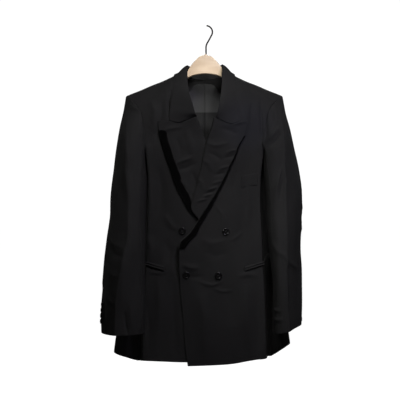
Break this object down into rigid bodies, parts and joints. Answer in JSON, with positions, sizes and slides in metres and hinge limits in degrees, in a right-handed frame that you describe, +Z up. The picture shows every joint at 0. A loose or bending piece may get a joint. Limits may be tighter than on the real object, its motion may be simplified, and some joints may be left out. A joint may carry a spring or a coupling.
{
  "type": "double-breasted blazer",
  "caption": "Hip-length double-breasted blazer with peak lapels, hung on a wooden hanger with a wire hook.",
  "frame": {"origin": "the highest point inside the hanger's hook, where a rail carries it", "axes": "+Z up, +X to the wearer's left (the viewer's right from the front), +Y towards the jacket's back"},
  "size_m": [0.5187, 0.2712, 0.8897],
  "materials": {
    "black_wool": "matte twill",
    "lapel_trim": "deep black pile",
    "lining_satin": "satin",
    "button_horn": "polished",
    "hanger_maple": "clear varnish",
    "hook_steel": "dark plated wire"
  },
  "bodies": {
    "root": {"back_left": "black_wool", "back_neck_facing": "black_wool", "back_right": "black_wool", "breast_welt": "black_wool", "collar_fall": "black_wool", "collar_stand": "black_wool", "cuff_button_left_1": "button_horn", "cuff_button_left_2": "button_horn", "cuff_button_left_3": "button_horn", "cuff_button_left_4": "button_horn", "cuff_button_right_1": "button_horn", "cuff_button_right_2": "button_horn", "cuff_button_right_3": "button_horn", "cuff_button_right_4": "button_horn", "front_button_1": "button_horn", "front_button_2": "button_horn", "front_button_3": "button_horn", "front_button_4": "button_horn", "front_left": "black_wool", "front_right": "black_wool", "hanger_body": "hanger_maple", "hanger_hook": "hook_steel", "lapel_left": "black_wool", "lapel_right": "black_wool", "lapel_trim_left": "lapel_trim", "lapel_trim_right": "lapel_trim", "lining_left": "lining_satin", "lining_right": "lining_satin", "pocket_jet_lower_left": "black_wool", "pocket_jet_lower_right": "black_wool", "pocket_jet_upper_left": "black_wool", "pocket_jet_upper_right": "black_wool", "side_left": "black_wool", "side_right": "black_wool", "sleeve_top_left": "black_wool", "sleeve_top_right": "black_wool", "sleeve_under_left": "black_wool", "sleeve_under_right": "black_wool"}
  },
  "joints": []
}
